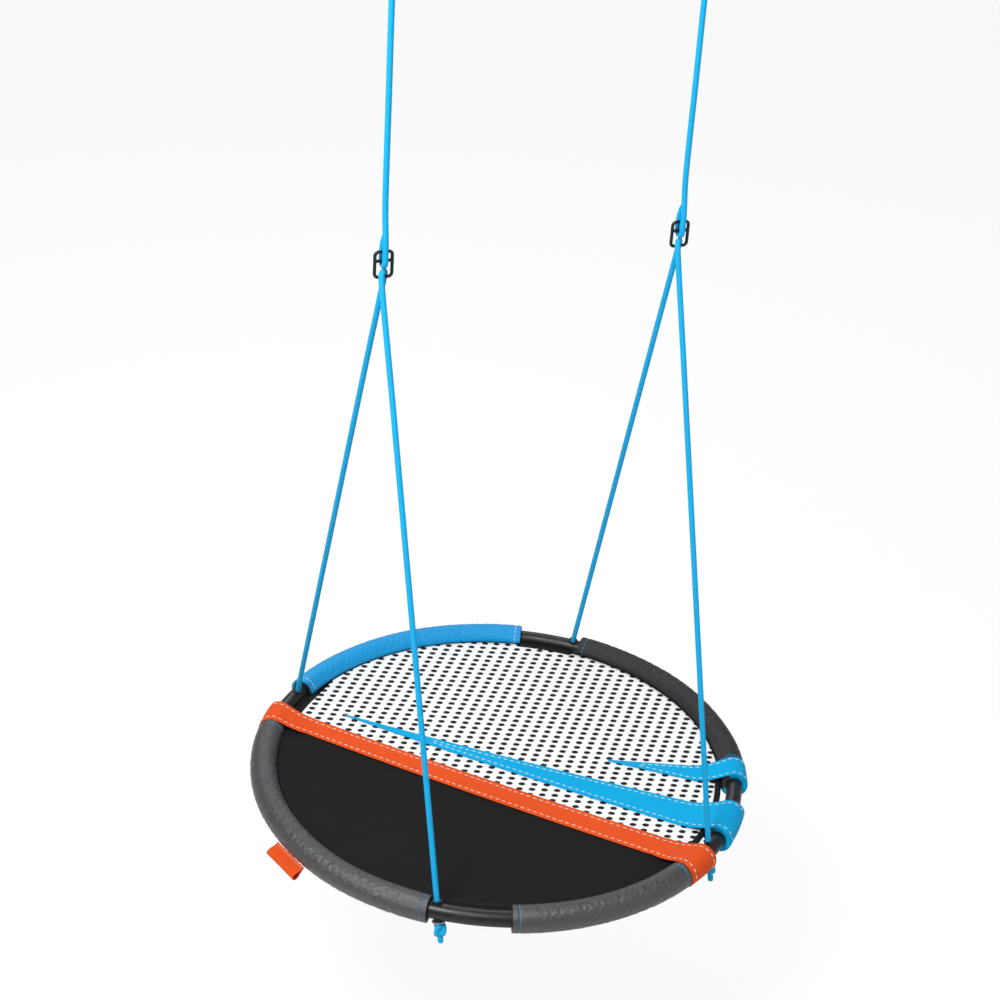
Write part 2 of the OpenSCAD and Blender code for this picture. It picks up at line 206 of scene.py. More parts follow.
def woven(name, code, pitch=0.0011, rough=0.7, depth=0.0004, contrast=0.2, sheen=0.03, shine=0.12):
    """Woven cloth: threads in relief, with painted shade between the threads and painted highlight on their
    crests, and broad, soft changes of colour.
    """
    s = Shader(name, rough, Sheen_Weight=sheen, Sheen_Roughness=0.4, Specular_IOR_Level=shine)
    base = linear(code)
    height = s.weave(pitch)
    coord = s.add("ShaderNodeTexCoord")[3]
    broad = s.noise(coord, 9.0)
    slub = s.noise(coord, 260.0, 3.0)
    tone = s.mix(broad, shade(base, 1 - contrast / 3), shade(base, 1 + contrast / 3))
    # painted shade and highlight: the colour is darker where the weave is low, between the threads, and
    # lighter on the threads' crests
    thread = s.mix(height, shade(base, 1 - contrast), shade(base, 1 + contrast / 2))
    both = s.mix(0.5, tone, thread)
    s.bump(s.math("ADD", height, s.math("MULTIPLY", slub, 0.5)), 0.5, depth)
    return s.colour(both)


def dotted(name):
    """White cloth with a slanted lattice of oval dark dots."""
    s = Shader(name, 0.7, Sheen_Weight=0.02, Specular_IOR_Level=0.12)
    x, y = s.flat()
    a, b = np.array([0.0234, -0.0099]), np.array([-0.0110, -0.0136])
    inverse = np.linalg.inv(np.array([a, b]).T)

    def combined(p, q, first, second):
        return s.math("ADD", s.math("MULTIPLY", p, float(first)),
                      s.math("MULTIPLY", q, float(second)))

    i = s.math("FRACT", combined(x, y, *inverse[0]))
    j = s.math("FRACT", combined(x, y, *inverse[1]))
    i, j = s.math("SUBTRACT", i, 0.5), s.math("SUBTRACT", j, 0.5)
    dx, dy = combined(i, j, a[0], b[0]), combined(i, j, a[1], b[1])
    turn = math.atan2(a[1], a[0])
    along = combined(dx, dy, math.cos(turn) / 0.0072, math.sin(turn) / 0.0072)
    across = combined(dx, dy, -math.sin(turn) / 0.0055, math.cos(turn) / 0.0055)
    away = s.math("SQRT", s.math("ADD", s.math("MULTIPLY", along, along),
                                 s.math("MULTIPLY", across, across)))
    wobble = s.math("MULTIPLY", s.math("SUBTRACT", s.noise(s.add("ShaderNodeTexCoord")[3], 420), 0.5), 0.12)
    dot = s.ramp(s.math("ADD", away, wobble), (0.93, (1, 1, 1, 1)), (1.0, (0, 0, 0, 1)))
    height = s.weave(0.0016)
    # painted shade: the white cloth and the dots are both darker in the weave's hollows, between the
    # threads, and lightest on the crests
    white = s.mix(height, linear("#f4f4f3"), linear("#ffffff"))
    dark = s.mix(height, linear("#171717"), linear("#2b2b2b"))
    relief = s.math("SUBTRACT", s.math("MULTIPLY", height, 0.5), dot)
    s.bump(relief, 0.5, 0.0004)
    return s.colour(s.mix(dot, white, dark))


def braided(name, code):
    """Braided rope: strands slant both ways round it, each made of fine yarns."""
    s = Shader(name, 0.55, Sheen_Weight=0.04, Specular_IOR_Level=0.2)
    base = linear(code)
    u, v = s.flat()
    one = s.math("ADD", s.math("MULTIPLY", u, BRAID / BRAID_PITCH * 1.0), s.math("MULTIPLY", v, BRAID))
    two = s.math("SUBTRACT", s.math("MULTIPLY", u, BRAID / BRAID_PITCH * 1.0), s.math("MULTIPLY", v, BRAID))
    ridge_one = s.math("ABSOLUTE", s.math("SINE", s.math("MULTIPLY", one, math.pi)))
    ridge_two = s.math("ABSOLUTE", s.math("SINE", s.math("MULTIPLY", two, math.pi)))
    height = s.math("MAXIMUM", ridge_one, ridge_two)
    yarn = s.math("SINE", s.math("MULTIPLY", s.math("ADD", one, two), 9 * math.pi))
    fine = s.math("ADD", s.math("MULTIPLY", yarn, 0.12), height)
    # painted shade and highlight: the rope's colour is much darker in the grooves between the strands and
    # lighter on their crests
    tone = s.mix(height, shade(base, 0.55), shade(base, 1.1))
    coord = s.add("ShaderNodeTexCoord")[3]
    worn = s.mix(s.noise(coord, 35), shade(base, 0.9), shade(base, 1.08))
    s.bump(fine, 0.6, 0.0006)
    return s.colour(s.mix(0.35, tone, worn))


def thread(name, code):
    """Sewing thread: a twist of two plies."""
    s = Shader(name, 0.45, Sheen_Weight=0.1)
    coord = s.add("ShaderNodeTexCoord")[3]
    twist = s.noise(coord, 900, 2)
    s.bump(twist, 0.4, 0.0002)
    return s.colour(s.mix(twist, shade(linear(code), 0.85), shade(linear(code), 1.1)))


def coated(name, code, rough, grain=1400, depth=0.00012):
    """Satin coating with a fine orange peel and slight rubbing."""
    s = Shader(name, rough, Specular_IOR_Level=0.5)
    coord = s.add("ShaderNodeTexCoord")[3]
    peel = s.noise(coord, grain, 2)
    rub = s.noise(coord, 30, 5)
    s.bump(peel, 0.35, depth)
    s.tree.links.new(s.add("ShaderNodeMapRange", rub, 0.3, 0.7, rough - 0.06, rough + 0.1)[0],
                     s.shader.inputs["Roughness"])
    base = linear(code)
    return s.colour(s.mix(s.ramp(rub, (0.35, (0, 0, 0, 1)), (0.75, (1, 1, 1, 1))),
                          base, shade(base, 1.5)))


def plated(name, code, rough=0.34):
    """Zinc-plated steel: cloudy, with faint brushing."""
    s = Shader(name, rough, Metallic=0.9)
    coord = s.add("ShaderNodeTexCoord")[3]
    cloud = s.noise(coord, 60, 5)
    scratch = s.noise(coord, 420, 2)
    s.bump(scratch, 0.15, 0.00006)
    s.tree.links.new(s.add("ShaderNodeMapRange", cloud, 0.3, 0.7, rough - 0.08, rough + 0.12)[0],
                     s.shader.inputs["Roughness"])
    base = linear(code)
    return s.colour(s.mix(cloud, shade(base, 0.78), shade(base, 1.08)))


BRAID, BRAID_PITCH = 6, 0.036
M = {
    "rope": braided("RopeBlue", "#0bafe8"),
    "sleeve_blue": woven("SleeveBlue", "#079ee0", 0.0013, 0.36, shine=0.35),
    "sleeve_charcoal": woven("SleeveCharcoal", "#262426", 0.0013, 0.42, contrast=0.3, shine=0.4),
    "sleeve_grey": woven("SleeveGrey", "#39393a", 0.0013, 0.34, contrast=0.25, shine=1.0),
    "mesh": dotted("DottedCloth"),
    "black": woven("BlackCloth", "#202020", 0.0014, 0.8, contrast=0.3, sheen=0.01, shine=0.06),
    "tape": woven("HemTape", "#161617", 0.0009, 0.7, contrast=0.5, sheen=0.01, shine=0.1),
    "orange": woven("BandOrange", "#e8551f", 0.0012, contrast=0.16),
    "blue": woven("BandBlue", "#04ade4", 0.0012, contrast=0.16),
    "peach": thread("ThreadPeach", "#ffe3d2"),
    "pale": thread("ThreadPale", "#d8f3fd"),
    "teal": thread("ThreadTeal", "#1c9fcc"),
    "dark_thread": thread("ThreadDark", "#3a3a3d"),
    "tube": coated("TubeBlack", "#181719", 0.4),
    "ring": coated("RingBlack", "#121214", 0.42),
    "bush": coated("BushNylon", "#1c1c1f", 0.5, 700),
    "foam": coated("FoamDark", "#2c2c2f", 0.85, 300, 0.0006),
    "zinc": plated("ZincPlate", "#a9adb2"),
    "bolt": plated("BoltZinc", "#b9bdc2", 0.28),
    "thimble": plated("ThimbleZinc", "#c3c7cb", 0.3),
    "steel": plated("SpigotSteel", "#75787c", 0.4),
}


# ---- Mesh tools ----

def grid_object(name, points, material, u=None, v=None, wrap_u=False, wrap_v=False, caps=False):
    """A smooth quad mesh over points[u][v], with the cloth's map from the lengths u and v."""
    n, m = points.shape[:2]
    rows, cols = np.meshgrid(np.arange(n if wrap_u else n - 1), np.arange(m if wrap_v else m - 1),
                             indexing="ij")
    rows, cols = rows.ravel(), cols.ravel()
    i = np.stack([rows, rows + 1, rows + 1, rows], 1)
    j = np.stack([cols, cols, cols + 1, cols + 1], 1)
    faces = (i % n) * m + (j % m)
    mesh = bpy.data.meshes.new(name)
    polygons = faces.tolist()
    if caps:
        polygons += [list(range(m))[::-1], [(n - 1) * m + k for k in range(m)]]
    mesh.from_pydata(points.reshape(-1, 3).tolist(), [], polygons)
    if u is not None:
        layer = mesh.uv_layers.new(name="Cloth")
        u, v = np.asarray(u, float), np.asarray(v, float)
        if u.ndim == 1:
            flat = np.stack([u[i], v[j]], -1).reshape(-1, 2)
        else:
            flat = np.stack([u[i % n, j % m], v[i % n, j % m]], -1).reshape(-1, 2)
        whole = np.zeros((len(mesh.loops), 2))
        whole[:len(flat)] = flat
        layer.data.foreach_set("uv", whole.ravel())
    return finished(name, mesh, material)


def finished(name, mesh, material, smooth=True):
    work = bmesh.new()
    work.from_mesh(mesh)
    bmesh.ops.recalc_face_normals(work, faces=work.faces)
    work.to_mesh(mesh)
    work.free()
    mesh.polygons.foreach_set("use_smooth", [smooth] * len(mesh.polygons))
    piece = bpy.data.objects.new(name, mesh)
    mesh.materials.append(material)
    bpy.context.scene.collection.objects.link(piece)
    return piece


def joined(name, parts):
    """Several pieces as one object."""
    work = bmesh.new()
    materials = []
    for part in parts:
        before = len(work.faces)
        work.from_mesh(part.data)
        work.faces.ensure_lookup_table()
        material = part.data.materials[0]
        if material not in materials:
            materials.append(material)
        for face in work.faces[before:]:
            face.material_index = materials.index(material)
    mesh = bpy.data.meshes.new(name)
    work.to_mesh(mesh)
    work.free()
    for material in materials:
        mesh.materials.append(material)
    for part in parts:
        bpy.data.objects.remove(part)
    piece = bpy.data.objects.new(name, mesh)
    bpy.context.scene.collection.objects.link(piece)
    return piece


def solid(piece, thickness, offset=0.0):
    change = piece.modifiers.new("Thickness", "SOLIDIFY")
    change.thickness, change.offset = thickness, offset


def smooth_path(points, step):
    """Points a fixed step apart on a smooth line through the given ones."""
    p = np.array(points, float)
    p = np.vstack([2 * p[0] - p[1], p, 2 * p[-1] - p[-2]])
    found = []
    for k in range(1, len(p) - 2):
        t = [0.0]
        for q in range(3):
            t.append(t[-1] + np.linalg.norm(p[k + q] - p[k + q - 1]) ** 0.5)
        for s in np.linspace(t[1], t[2], 40, endpoint=False):
            a = [((t[q + 1] - s) * p[k - 1 + q] + (s - t[q]) * p[k + q]) / (t[q + 1] - t[q])
                 for q in range(3)]
            b = [((t[q + 2] - s) * a[q] + (s - t[q]) * a[q + 1]) / (t[q + 2] - t[q])
                 for q in range(2)]
            found.append(((t[2] - s) * b[0] + (s - t[1]) * b[1]) / (t[2] - t[1]))
    found.append(p[-2])
    found = np.array(found)
    along = np.concatenate([[0], np.cumsum(np.linalg.norm(np.diff(found, axis=0), axis=1))])
    places = np.linspace(0, along[-1], max(4, int(round(along[-1] / step))) + 1)
    return np.stack([np.interp(places, along, found[:, k]) for k in range(3)], 1), places


def frames(path):
    """Two crosswise directions at each point, without twist."""
    tangent = np.gradient(path, axis=0)
    tangent /= np.linalg.norm(tangent, axis=1)[:, None]
    side = np.zeros_like(path)
    first = np.array([1.0, 0, 0]) if abs(tangent[0][0]) < 0.8 else np.array([0, 1.0, 0])
    side[0] = first - tangent[0] * (first @ tangent[0])
    for k in range(1, len(path)):
        side[k] = side[k - 1] - tangent[k] * (side[k - 1] @ tangent[k])
    side /= np.linalg.norm(side, axis=1)[:, None]
    return side, np.cross(tangent, side)


def rope(name, route, taper=(0, 0), radius=ROPE_R, step=0.0015, around=24):
    """A braided rope along a route in metres. Its strands stand in relief."""
    path, along = smooth_path(route, step)
    side, other = frames(path)
    turn = np.arange(around) / around
    one = along[:, None] * BRAID / BRAID_PITCH + turn[None] * BRAID
    two = along[:, None] * BRAID / BRAID_PITCH - turn[None] * BRAID
    relief = np.maximum(abs(np.sin(math.pi * one)), abs(np.sin(math.pi * two)))
    r = radius * (0.93 + 0.07 * relief)
    for end, length in zip((along, along[-1] - along), taper):
        if length:
            r *= (0.35 + 0.65 * np.sqrt(np.clip(end / length, 0, 1)))[:, None]
    ring = np.cos(TAU * turn)[None, :, None] * side[:, None] \
        + np.sin(TAU * turn)[None, :, None] * other[:, None]
    points = path[:, None] + r[:, :, None] * ring
    piece = grid_object(name, points, M["rope"], along, np.arange(around + 1) / around,
                        wrap_v=True, caps=True)
    return piece, path, float(along[-1])


def on_rim(theta, radial, z):
    """Points at angles round the rim, in radians, at distances from the seat's centre."""
    return np.stack([radial * np.cos(theta), radial * np.sin(theta), z + SEAT_Z + 0 * theta], -1)


def sag(x, y):
    return -SAG * np.clip(1 - (x * x + y * y) / PANEL_R ** 2, 0, 1)


def dashes(name, lines, material, pitch=0.014, length=0.0092, width=0.0022, height=0.0011):
    """Stitches along lines, each a list of points and one of normals on the cloth."""
    verts, faces = [], []
    sides = 6
    shape = [0.3, 0.85, 1, 0.85, 0.3]
    for path, normal in lines:
        along = np.concatenate([[0], np.cumsum(np.linalg.norm(np.diff(path, axis=0), axis=1))])
        count = int(along[-1] / pitch)
        for k in range(count):
            start = (along[-1] - count * pitch) / 2 + k * pitch + (pitch - length) / 2
            places = start + np.linspace(0, length, 5)
            p = np.stack([np.interp(places, along, path[:, c]) for c in range(3)], 1)
            n = np.stack([np.interp(places, along, normal[:, c]) for c in range(3)], 1)
            n /= np.linalg.norm(n, axis=1)[:, None]
            t = np.gradient(p, axis=0)
            t /= np.linalg.norm(t, axis=1)[:, None]
            w = np.cross(t, n)
            base = len(verts)
            for q in range(5):
                for c in range(sides):
                    a = TAU * c / sides
                    verts.append(p[q] + shape[q] * (width / 2 * math.cos(a) * w[q]
                                                    + height / 2 * math.sin(a) * n[q]))
            for q in range(4):
                for c in range(sides):
                    d = (c + 1) % sides
                    faces.append([base + q * sides + c, base + q * sides + d,
                                  base + (q + 1) * sides + d, base + (q + 1) * sides + c])
            faces.append([base + c for c in range(sides)][::-1])
            faces.append([base + 4 * sides + c for c in range(sides)])
    mesh = bpy.data.meshes.new(name)
    mesh.from_pydata([tuple(v) for v in verts], [], faces)
    return finished(name, mesh, material)


# ---- Ropes ----

def millimetres(points):
    return [tuple(c / 1000 for c in p) for p in points]


def make_ropes():
    for side, leg in ((-1, LEG_LEFT), (1, LEG_RIGHT)):
        word = "left" if side < 0 else "right"
        route = millimetres([(side * HANG_X * 1000, y, z) for y, z in UPPER_ROUTE])
        piece, path, length = rope(f"UpperRope_{word}", route, (0.03, 0.03))
        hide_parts(f"upper_rope_{word}")
        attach(piece, "upper_ropes")
        route = millimetres(leg)
        piece, path, length = rope(f"LegRope_{word}", route)
        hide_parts(f"leg_rope_{word}")
        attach(piece, "seat")


def leg_frame(route, first):
    """The place under a rope hole where the knot starts, and the direction down the rope."""
    p = np.array(millimetres(route))
    end, before = (p[0], p[1]) if first else (p[-1], p[-2])
    return end, (end - before) / np.linalg.norm(end - before)


def make_knots():
    """A stopper knot on each rope end, with a short tail that is sealed by heat."""
    parts = []
    t = np.linspace(0, TAU, 49)[:-1]
    for k, (route, first) in enumerate(((LEG_LEFT, 1), (LEG_LEFT, 0), (LEG_RIGHT, 1), (LEG_RIGHT, 0))):
        end, down = leg_frame(route, first)
        cross = np.cross(down, [0, 1.0, 0])
        cross /= np.linalg.norm(cross)
        other = np.cross(down, cross)
        middle = end + down * 0.0145
        spin = 0.8 * k
        x = 0.0027 * (np.sin(t + spin) + 2 * np.sin(2 * t + 0))
        y = 0.0027 * (np.cos(t + spin) - 2 * np.cos(2 * t + 0))
        z = -0.0085 * np.sin(3 * t + spin)
        loop = middle + x[:, None] * cross + y[:, None] * other + z[:, None] * down
        loop = np.vstack([loop, loop[:2]])
        parts.append(rope(f"Loop{k}", loop.tolist(), radius=0.0053, step=0.0012, around=20)[0])
        tail = [end + down * d for d in (0.012, 0.022, 0.032, 0.0425)]
        parts.append(rope(f"Tail{k}", [p.tolist() for p in tail], (0, 0.003), step=0.0012)[0])
    piece = joined("StopperKnots", parts)
    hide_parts("stopper_knots")
    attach(piece, "seat")


# ---- Sleeves ----

SLEEVES = {
    "sleeve_back_blue": ((62, 129.5), "sleeve_blue", "pale", "fabric_blue_dark", 11),
    "sleeve_right_charcoal": ((340, 405.5), "sleeve_charcoal", "teal", "fabric_charcoal", 23),
    "sleeve_front_left_grey": ((147.6, 232), "sleeve_grey", "teal", "fabric_grey", 37),
    "sleeve_front_right_grey": ((250.5, 295), "sleeve_grey", "teal", "fabric_grey", 51),
}
HEM_LINE = 0.013        # from a sleeve's end to its stitches


def settled(node, start, length, seed):
    """Radii of a sleeve's cloth, slack by one percent, after it settles under the foam's push.
    It is held at both stitched ends and along its seam, and weakly elsewhere by the foam."""
    s = np.linspace(0, length, int(length / 0.006))
    phi = -math.pi + TAU * np.arange(48) / 48
    S, P = np.meshgrid(s, phi, indexing="ij")
    r = 0.0258 + np.random.RandomState(seed).uniform(-1, 1, S.shape) * 0.00015
    piece = grid_object("Settling", sleeve_point(start + S / RIM_R, P, r), M["tape"], wrap_v=True)
    end = np.minimum(S, length - S)
    held = np.maximum(end < 0.014, abs(P + 1.9) < 0.07).ravel()
    group = piece.vertex_groups.new(name="Held")
    group.add(np.flatnonzero(~held).tolist(), 0.3, "REPLACE")
    group.add(np.flatnonzero(held).tolist(), 1.0, "REPLACE")
    cloth = piece.modifiers.new("Cloth", "CLOTH")
    cloth.settings.quality = 5
    cloth.settings.mass = 0.12
    cloth.settings.tension_stiffness = cloth.settings.compression_stiffness = 14
    cloth.settings.shear_stiffness = 4
    cloth.settings.bending_stiffness = 0.03
    cloth.settings.shrink_min = -0.01
    cloth.settings.pin_stiffness = 1
    cloth.settings.use_pressure = True
    cloth.settings.uniform_pressure_force = 4
    cloth.settings.vertex_group_mass = "Held"
    cloth.settings.effector_weights.gravity = 0
    cloth.collision_settings.use_collision = False
    for frame_number in range(1, 21):
        bpy.context.scene.frame_set(frame_number)
    still = piece.evaluated_get(bpy.context.evaluated_depsgraph_get()).to_mesh()
    co = np.empty(len(still.vertices) * 3)
    still.vertices.foreach_get("co", co)
    x, y, z = co.reshape(-1, 3).T
    found = np.hypot(np.hypot(x, y) - RIM_R, z - SEAT_Z).reshape(S.shape)
    bpy.data.objects.remove(piece)
    bpy.context.scene.frame_set(1)
    return s, phi, found


SETTLED = {}


def sleeve_radius(s, length, phi, node):
    """Outside radius of a sleeve: full in the middle, puckered and turned in at its ends."""
    seed = SLEEVES[node][4]
    end = np.minimum(s, length - s)
    r = SLEEVE_R - 0.0004 + 0 * phi
    fade = np.clip((end - 0.02) / 0.03, 0, 1)
    if node in SETTLED:
        rows, turns, found = SETTLED[node]
        i = s / length * (len(rows) - 1)
        j = ((phi + math.pi) % TAU) / TAU * len(turns)
        i0, j0 = np.minimum(i.astype(int), len(rows) - 2), j.astype(int) % len(turns)
        i1, j1, a, b = i0 + 1, (j0 + 1) % len(turns), i - i0, j - j.astype(int)
        a, b = a * a * (3 - 2 * a), b * b * (3 - 2 * b)
        push = (found[i0, j0] * (1 - a) + found[i1, j0] * a) * (1 - b) \
            + (found[i0, j1] * (1 - a) + found[i1, j1] * a) * b
        r = r + fade * push
    else:
        inner = np.clip(-np.cos(phi), 0, 1)
        gather = np.sin(s * TAU / 0.031 + 1.7 * np.sin(s * TAU / 0.143 + seed) + 0.8 * np.sin(phi))
        r = r - 0.00055 * fade * (0.35 + 0.65 * inner) * (0.5 + 0.5 * gather)
    hem = np.exp(-((end - HEM_LINE) / 0.0022) ** 2)
    r = r - 0.0009 * hem - 0.0007 * np.exp(-end / 0.009)
    pucker = np.sin(17 * phi + seed) * 0.5 + np.sin(29 * phi + 2 * seed) * 0.3
    r = r + 0.00042 * pucker * np.exp(-np.abs(end - HEM_LINE) / 0.010)
    drift = np.sin(s * TAU / 0.27 + seed) * np.sin(phi + seed) * 0.0004
    seam = np.exp(-((phi + 1.9) / 0.09) ** 2) * 0.0006
    inside = np.clip((-np.cos(phi) - 0.80) / 0.12, 0, 1)
    least = SLEEVE_R - 0.0017 + 0.0014 * inside
    return np.clip(r + drift + seam, least, SLEEVE_R + 0.0006)


def sleeve_point(theta, phi, r):
    return on_rim(theta, RIM_R + r * np.cos(phi), r * np.sin(phi))


def make_sleeve(node):
    (start, stop), cloth, stitch, slot, seed = SLEEVES[node]
    start, stop = math.radians(start), math.radians(stop)
    length = (stop - start) * RIM_R
    around = 96
    body = np.arange(0.0, length, 0.0025)
    fine = np.concatenate([np.arange(0, 0.024, 0.001), length - np.arange(0, 0.024, 0.001)[::-1]])
    s = np.unique(np.round(np.concatenate([body[(body > 0.024) & (body < length - 0.024)], fine]), 6))
    phi = -math.pi + TAU * np.arange(around) / around
    S, P = np.meshgrid(s, phi, indexing="ij")
    rows, turns, found = settled(node, start, length, seed)
    found = found - np.median(found)
    found = np.clip(found, -0.0014, 0.0006)
    SETTLED[node] = rows, turns, found
    R = sleeve_radius(S, length, P, node)
    turned = []
    for k, first in ((0, True), (-1, False)):
        for share in np.linspace(0, 1, 7)[1:]:
            drop = 0.0022 * (1 - math.cos(share * math.pi / 2)) if share < 0.5 else 0.0022
            inner = TUBE_R + 0.0006
            radius = R[k] + (inner - R[k]) * share ** 0.9
            place = s[k] + (drop if first else -drop) * (1 if share > 0 else 0)
            turned.append((first, place, radius))
    rows = [(p, r) for first, p, r in turned if first][::-1] + list(zip(s, R)) \
        + [(p, r) for first, p, r in turned if not first]
    places = np.array([p for p, _ in rows])
    radii = np.array([r for _, r in rows])
    theta = start + places / RIM_R
    points = sleeve_point(theta[:, None] + 0 * radii, phi[None] + 0 * radii, radii)
    lengths = np.concatenate([[0], np.cumsum(np.abs(np.diff(places)) + np.abs(np.diff(radii[:, 0])))])
    piece = grid_object("Cover_" + node, points, M[cloth], lengths,
                        np.arange(around + 1) / around * TAU * SLEEVE_R, wrap_v=True)
    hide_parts(node)
    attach(piece, "seat")
    lines = []
    ring = np.linspace(0, TAU, 120)
    for place in (HEM_LINE, length - HEM_LINE):
        r = sleeve_radius(np.full_like(ring, place), length, (ring + math.pi) % TAU - math.pi, node)
        angle = start + place / RIM_R + 0 * ring
        lines.append((sleeve_point(angle, ring, r + 0.0003),
                      sleeve_point(angle, ring, r + 1) - sleeve_point(angle, ring, r)))
    rows = dashes("HemStitches_" + node, lines, M[stitch], 0.0092, 0.0066, 0.0020, 0.0010)
    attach(rows, "seat")
    run = np.linspace(0.016, length - 0.016, 400)
    lines = []
    for phi_line in (-1.78, -2.02):
        r = sleeve_radius(run, length, np.full_like(run, phi_line), node)
        angle, at = start + run / RIM_R, np.full_like(run, phi_line)
        lines.append((sleeve_point(angle, at, r + 0.0002),
                      sleeve_point(angle, at, r + 1) - sleeve_point(angle, at, r)))
    rows = dashes("SeamStitches_" + node, lines, M[stitch], 0.0085, 0.0055, 0.0011, 0.0007)
    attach(rows, "seat")


# ---- Seat panels and hems ----

def turned(u, v):
    """From the bands' own directions to the seat's."""
    c, s = math.cos(BAND_TURN), math.sin(BAND_TURN)
    return c * u - s * v, s * u + c * v


def make_panel(node, side, cloth):
    seam = SEAM_V + side * 0.0002
    width = math.sqrt(PANEL_R ** 2 - seam ** 2) * 0.99995
    share = np.sin(np.linspace(-math.pi / 2, math.pi / 2, 121))
    across = np.linspace(0, 1, 61)
    U, T = np.meshgrid(share * width, across, indexing="ij")
    far = side * np.sqrt(PANEL_R ** 2 - U ** 2)
    V = seam + (far - seam) * T
    x, y = turned(U, V)
    points = np.stack([x, y, SEAT_Z + sag(x, y)], -1)
    piece = grid_object("Cloth_" + node, points, M[cloth], x, y)
    solid(piece, 0.002)
    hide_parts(node)
    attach(piece, "seat")


BARE = [(128.0, 142.0), (46.5, 63.0), (231.0, 251.6), (301.5, 313.5), (320.5, 336.5)]
FLAPS = BARE[:3]        # bare stretches of the rim whose slit the tape closes


def within(theta, stretches, fade):
    """1 inside stretches of the rim, 0 outside, with a short change between."""
    degrees = np.degrees(theta) % 360
    share = np.zeros_like(theta)
    for low, high in stretches:
        share = np.maximum(share, np.clip(np.minimum(degrees - low, high - degrees) / fade, 0, 1))
    return share


def make_hem(node, side):
    """Hem tape folded over the panel's edge. Beside the sleeves its upper edge turns under."""
    seam = math.asin(SEAM_V / HEM_R)
    start = BAND_TURN + (seam if side > 0 else math.pi - seam)
    stop = start + (math.pi - 2 * seam if side > 0 else math.pi + 2 * seam)
    theta = np.linspace(start + 0.0004, stop - 0.0004, 900)
    half = 0.0019
    fold = np.linspace(-math.pi / 2, math.pi / 2, 7)
    bare = within(theta, BARE, 0.8)
    reach = within(theta, FLAPS, 0.7) * 0.0108
    upper = 0.0028 + (HEM_W - 0.0028) * bare
    share = np.linspace(0, 1, 5)
    flat = HEM_R - half
    low = HEM_R - HEM_W + share[None, :-1] * (HEM_W - half) + 0 * upper[:, None]
    turn = flat + half * np.cos(fold)[None] + 0 * upper[:, None]
    high = flat - share[None, 1:] * (upper - half)[:, None]
    radial = np.hstack([low, turn, high])
    level = np.concatenate([np.full(4, -half), half * np.sin(fold), np.full(4, half)])
    grow = np.clip((radial - (HEM_R - 0.006)) / 0.006, 0, 1)
    radial = radial + reach[:, None] * grow
    ripple = 0.00012 * np.sin(theta * RIM_R * TAU / 0.009)
    z = level[None] * (1 + ripple[:, None] / half)
    points = on_rim(theta[:, None] + 0 * radial, radial, z)
    girth = np.linalg.norm(np.diff(points, axis=1), axis=2).sum(axis=1).mean()
    lengths = np.linspace(0, girth, radial.shape[1])
    piece = grid_object("Tape_" + node, points, M["tape"], theta * HEM_R, lengths)
    solid(piece, 0.001)
    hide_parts(node)
    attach(piece, "seat")
    lines = []
    full = (bare > 0.99).astype(int)
    edges = np.flatnonzero(np.diff(np.concatenate([[0], full, [0]])))
    for first, last in zip(edges[::2], edges[1::2]):
        run = theta[first:last]
        if len(run) < 8:
            continue
        for depth in (0.0025, 0.0065):
            r = HEM_R - HEM_W + depth
            lines.append((on_rim(run, r + 0 * run, half + 0.0008 + 0 * run),
                          np.tile([0.0, 0, 1], (len(run), 1))))
    if lines:
        rows = dashes("TapeStitches_" + node, lines, M["dark_thread"], 0.006, 0.0042, 0.0008, 0.0005)
        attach(rows, "seat")


# ---- Bands ----

def wrap_profile():
    """The band's line at the rim: up from the seat, over and round the sleeve, and back under
    the seat. Distances are from the seat's centre and over the rim's middle plane."""
    rise, fall = math.radians(118), math.radians(-152)
    angles = np.linspace(rise, fall, 64)
    round_rim = np.stack([RIM_R + WRAP_R * np.cos(angles), WRAP_R * np.sin(angles)], 1)
    t = np.linspace(0, 1, 14)[:-1, None]

    def curve(start, knee, tip):
        return (1 - t) ** 2 * start + 2 * t * (1 - t) * knee + t * t * tip

    lead = curve(np.array([BAND_IN, BAND_Z]), np.array([0.433, BAND_Z + 0.002]), round_rim[0])
    under = curve(np.array([0.4462, -BAND_Z]), np.array([0.4521, -BAND_Z - 0.0001]), round_rim[-1])
    flap = np.stack([np.linspace(0.4462, BAND_IN, 6)[1:], np.full(5, -BAND_Z)], 1)
    return np.vstack([lead, round_rim, under[::-1], flap])


def band_surface(ends, tip=None, rows=33, cells=120):
    """Points [along][across] of a band from its left end, or its tip, to the end of its wraps.
    Each end is the angles of the band's lower and upper edge at the rim."""
    a = np.linspace(0, 1, rows)
    profile = wrap_profile()
    sides = []
    for low, high in ends:
        theta = np.radians(low + (high - low) * a)
        sides.append(on_rim(theta[None] + 0 * profile[:, :1], profile[:, :1] + 0 * theta[None],
                            profile[:, 1:] + 0 * theta[None]))
    right = sides[-1]
    if tip is None:
        left = sides[0]
        first = left[0]
    else:
        x, y = turned(*tip)
        spread = (a - 0.5)[:, None] * 0.003 * np.array([-math.sin(BAND_TURN), math.cos(BAND_TURN), 0])
        first = np.array([x, y, SEAT_Z + BAND_Z]) + spread
    t = np.linspace(0, 1, cells)[:, None, None]
    strip = first[None] * (1 - t) + right[0][None] * t
    strip[..., 2] += sag(strip[..., 0], strip[..., 1])
    body = np.vstack([strip[:-1], right])
    if tip is None:
        body = np.vstack([left[::-1][:-1], body])
    return body


